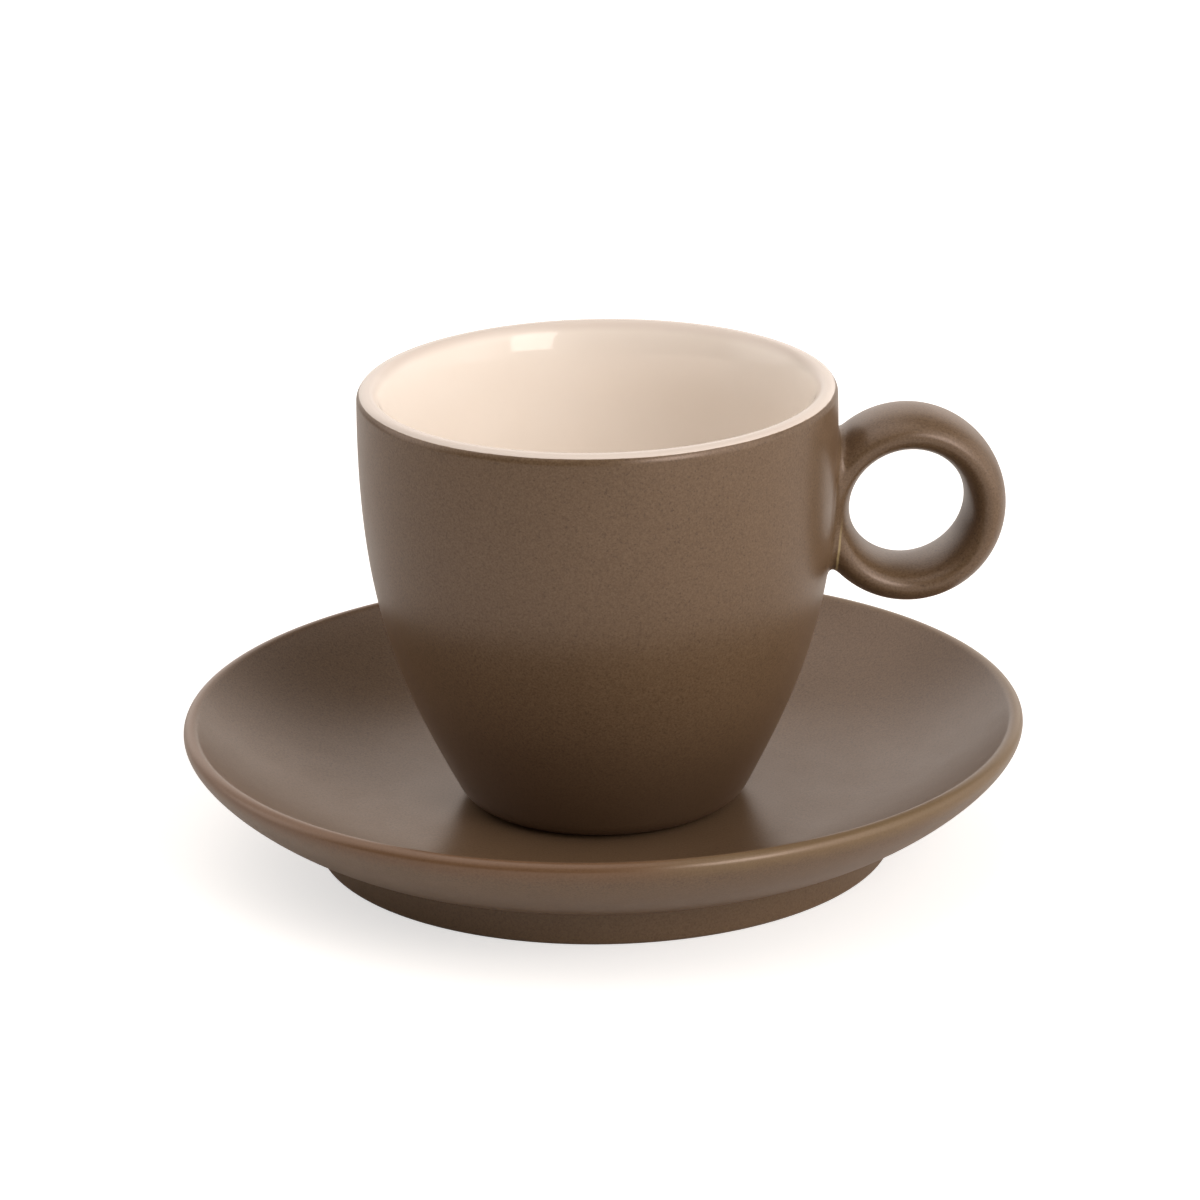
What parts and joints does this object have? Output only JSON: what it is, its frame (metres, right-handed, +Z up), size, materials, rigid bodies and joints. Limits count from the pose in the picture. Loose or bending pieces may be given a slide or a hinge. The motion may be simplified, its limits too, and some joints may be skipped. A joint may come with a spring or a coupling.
{
  "type": "coffee cup with saucer",
  "caption": "Tapered stoneware coffee cup with a ring handle and a pale glazed inside, standing on a deep dished saucer with a stepped foot ring.",
  "frame": {"origin": "centre of the saucer's foot ring, on the surface it stands on", "axes": "+Z up along the axis of cup and saucer, +X towards the cup's ring handle"},
  "size_m": [0.14, 0.14, 0.0793],
  "materials": {
    "taupe_glaze": "satin taupe glaze with a fine grain, breaking to brown along the saucer's rim",
    "cream_glaze": "glossy cream glaze"
  },
  "bodies": {
    "saucer": {"saucer": "taupe_glaze"},
    "cup": {"cup_body": "taupe_glaze", "cup_lining": "cream_glaze", "cup_handle": "taupe_glaze"}
  },
  "joints": [
    {"name": "cup_lift", "type": "slide", "parent": "saucer", "child": "cup", "axis": [0, 0, 1], "range_m": [0, 0.09]}
  ]
}
